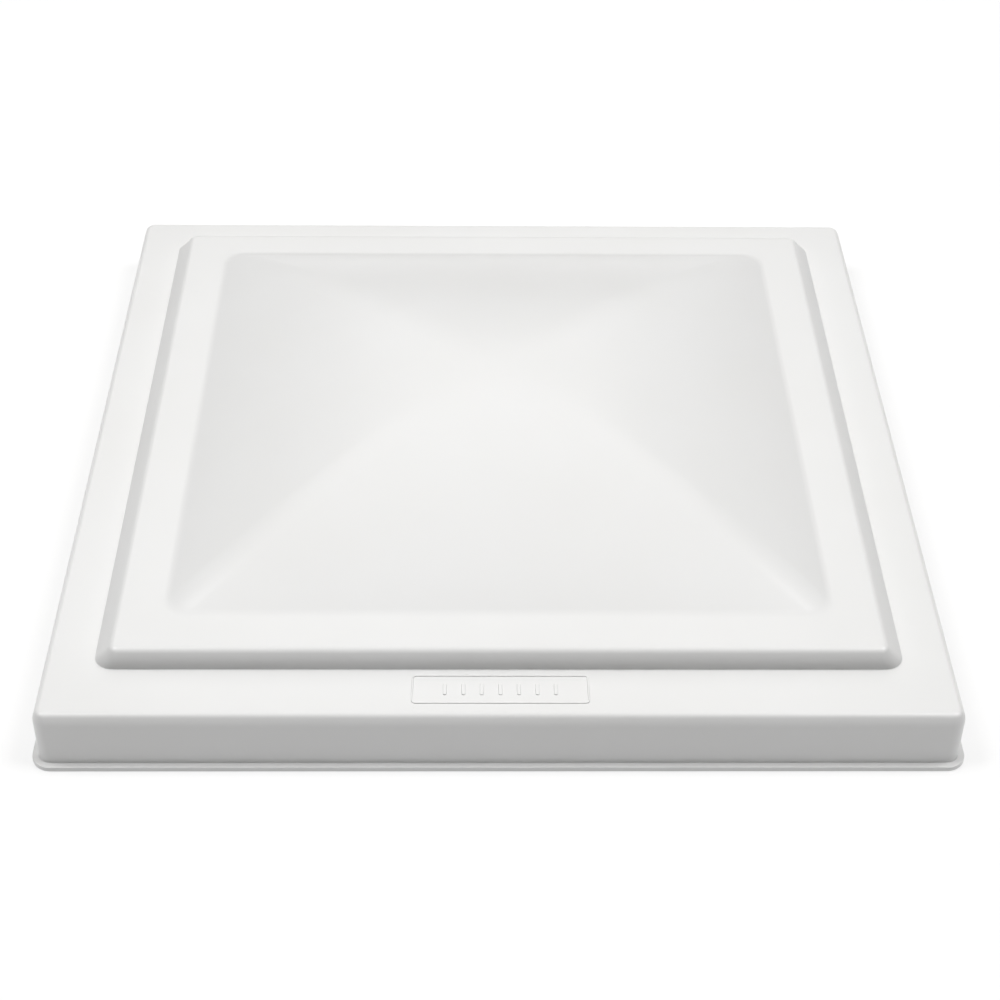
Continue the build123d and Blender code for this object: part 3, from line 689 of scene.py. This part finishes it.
def natural_nylon():
    """Uncoloured nylon: milky and waxy, darker where it has rubbed on the track."""
    finish = Finish("natural_nylon", IOR=1.53, Subsurface_Weight=0.2, Subsurface_Scale=2 * MM)
    finish.shader.inputs["Subsurface Radius"].default_value = (1.0, 0.8, 0.55)
    milk = finish.spread(finish.noise(13 * MM, 3), 0, 1)
    milky = finish.blend(milk, (0.80, 0.78, 0.70), (0.74, 0.71, 0.61))
    rubbed = finish.spread(finish.noise(3 * MM, 4, stretch=(1, 0.12, 1)), 0, 0.4, 0.52, 0.7)
    finish.colour(finish.blend(rubbed, milky, (0.42, 0.40, 0.36)))
    finish.roughness(finish.spread(finish.noise(8 * MM, 3), 0.36, 0.5))
    finish.bump(finish.noise(0.7 * MM, 2), 0.02 * MM)
    return finish.material


def black_nylon():
    """Black moulded plugs: fine spark-eroded texture and greyer lines of flow."""
    finish = Finish("black_nylon", IOR=1.5)
    flow = finish.spread(finish.noise(5 * MM, 3), 0, 1)
    finish.colour(finish.blend(flow, (0.018, 0.018, 0.019), (0.038, 0.038, 0.039)))
    finish.roughness(finish.spread(finish.noise(4 * MM, 2), 0.42, 0.58))
    finish.bump(finish.noise(0.35 * MM, 1), 0.03 * MM)
    return finish.material


def dress(piece, material):
    """Gives every slot of a piece one material."""
    if not piece.material_slots:
        piece.data.materials.append(material)
    for material_slot in piece.material_slots:
        material_slot.material = material


# ---------------------------------------------------------------- the object
plastic = white_plastic()
cover = lid_cover()
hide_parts("lid_shell")
for moulded in (cover, track_supports(), raised_mark()):
    dress(moulded, plastic)
    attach(moulded, "lid")

foam = black_foam()
for seal in ("seal_front", "seal_rear", "seal_left", "seal_right"):
    strip = foam_strip(seal)
    dress(strip, foam)
    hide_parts(seal)
    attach(strip, "lid")

hinge_zinc = plated_steel("hinge_zinc", (0.74, 0.74, 0.73), (0.58, 0.59, 0.59), 0.5 * MM, 0.28, 0.22)
bright_zinc = plated_steel("bright_zinc", (0.80, 0.80, 0.80), (0.66, 0.67, 0.68), 0.3 * MM, 0.2, 0.12)
aluminium = rivet_aluminium()
stop_black = black_nylon()
finishes = {
    "lift_track": galvanised_steel(),
    "track_stop_front": stop_black,
    "track_stop_rear": stop_black,
    "track_screws": bright_zinc,
    "track_washers": bright_zinc,
    "slide_block": natural_nylon(),
    "pivot_pin": bright_zinc,
    "pivot_clips": bright_zinc,
    "arm_bracket": hinge_zinc,
    "hinge_leaf_lid": hinge_zinc,
    "hinge_leaf_base": hinge_zinc,
    "hinge_pin": bright_zinc,
    "hinge_pin_caps": bright_zinc,
    "hinge_rivets": aluminium,
    "rivet_washers": aluminium,
}
for cad_node, material in finishes.items():
    dress(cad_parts[cad_node], material)


# ---------------------------------------------------------------- floor, light and camera
AMBIENT = 0.05
FLOOR_DROP = 0.2 * MM  # the floor is this far under the lip
FLOOR_HALF = 6.0
FLOOR_GREY = 0.36
FLOOR_GLOW = 0.6  # light of its own, which keeps the lid's shadow faint

SIDE_BOX_X = 1.1
SIDE_BOX_Y = -0.12
SIDE_BOX_Z = 1.9
SIDE_BOX_SIZE = (0.9, 0.9)
SIDE_BOX_RADIANCE = 9.9
OVERHEAD_PLACE = (0.0, 0.65, 1.8)
OVERHEAD_SIZE = (1.4, 3.0)
OVERHEAD_RADIANCE = 1.35
OVERHEAD_TINT = (1.0, 0.99, 0.965)

CAMERA_PLACE = Vector((-14.2, -811.3, 646.6)) * MM
CAMERA_PITCH = math.radians(39.13)  # down from level
CAMERA_YAW = math.radians(1.17)
CAMERA_ROLL = math.radians(-0.84)
SENSOR = 36.0  # millimetres, as is the lens
LENS = 73.07
NEAREST, FURTHEST = 0.05, 50


def white_floor():
    """A plain white floor, clear from below."""
    corners = [(-1, -1), (1, -1), (1, 1), (-1, 1)]
    mesh = bpy.data.meshes.new("floor")
    points = [(x * FLOOR_HALF, y * FLOOR_HALF, -FLOOR_DROP) for x, y in corners]
    mesh.from_pydata(points, [], [range(len(points))])
    floor = bpy.data.objects.new("floor", mesh)
    bpy.context.scene.collection.objects.link(floor)
    finish = Finish(
        "floor_white", Roughness=1.0, Specular_IOR_Level=0.0, Emission_Strength=FLOOR_GLOW
    )
    finish.shader.inputs["Base Color"].default_value = (FLOOR_GREY, FLOOR_GREY, FLOOR_GREY, 1)
    finish.shader.inputs["Emission Color"].default_value = (1, 1, 1, 1)
    below = finish.tree.nodes.new("ShaderNodeNewGeometry").outputs["Backfacing"]
    clear = finish.tree.nodes.new("ShaderNodeBsdfTransparent")
    either = finish.tree.nodes.new("ShaderNodeMixShader")
    finish.link(below, either.inputs[0])
    finish.link(finish.shader.outputs["BSDF"], either.inputs[1])
    finish.link(clear.outputs["BSDF"], either.inputs[2])
    finish.link(either.outputs["Shader"], finish.tree.nodes["Material Output"].inputs["Surface"])
    dress(floor, finish.material)


def soft_light(name, place, size, radiance, tint=(1, 1, 1)):
    """A soft box that faces the lid; radiance is how bright its surface looks."""
    lamp = bpy.data.lights.new(name, "AREA")
    lamp.shape = "RECTANGLE"
    lamp.size, lamp.size_y = size
    lamp.energy = radiance * math.pi * size[0] * size[1]
    lamp.color = tint
    holder = bpy.data.objects.new(name, lamp)
    bpy.context.scene.collection.objects.link(holder)
    holder.location = place
    holder.rotation_euler = (-Vector(place)).to_track_quat("-Z", "Y").to_euler()


def studio():
    """A high soft box each side, a large dim one overhead, and a little light all round."""
    white_floor()
    world = bpy.data.worlds.new("studio")
    world.use_nodes = True
    background = world.node_tree.nodes["Background"]
    background.inputs["Color"].default_value = (1, 1, 1, 1)
    background.inputs["Strength"].default_value = AMBIENT
    bpy.context.scene.world = world
    for name, x in (("left_box", -SIDE_BOX_X), ("right_box", SIDE_BOX_X)):
        soft_light(name, (x, SIDE_BOX_Y, SIDE_BOX_Z), SIDE_BOX_SIZE, SIDE_BOX_RADIANCE)
    soft_light("overhead_box", OVERHEAD_PLACE, OVERHEAD_SIZE, OVERHEAD_RADIANCE, OVERHEAD_TINT)


def camera():
    """The camera, in front of the lid and above it."""
    data = bpy.data.cameras.new("camera")
    data.sensor_width = SENSOR
    data.lens = LENS
    data.clip_start = NEAREST
    data.clip_end = FURTHEST
    holder = bpy.data.objects.new("camera", data)
    bpy.context.scene.collection.objects.link(holder)
    aim = Euler((math.radians(90) - CAMERA_PITCH, 0, -CAMERA_YAW)).to_matrix()
    turn = aim @ Matrix.Rotation(-CAMERA_ROLL, 3, "Z")
    holder.matrix_world = Matrix.Translation(CAMERA_PLACE) @ turn.to_4x4()
    bpy.context.scene.camera = holder


studio()
camera()
bpy.context.scene.view_settings.view_transform = "Standard"
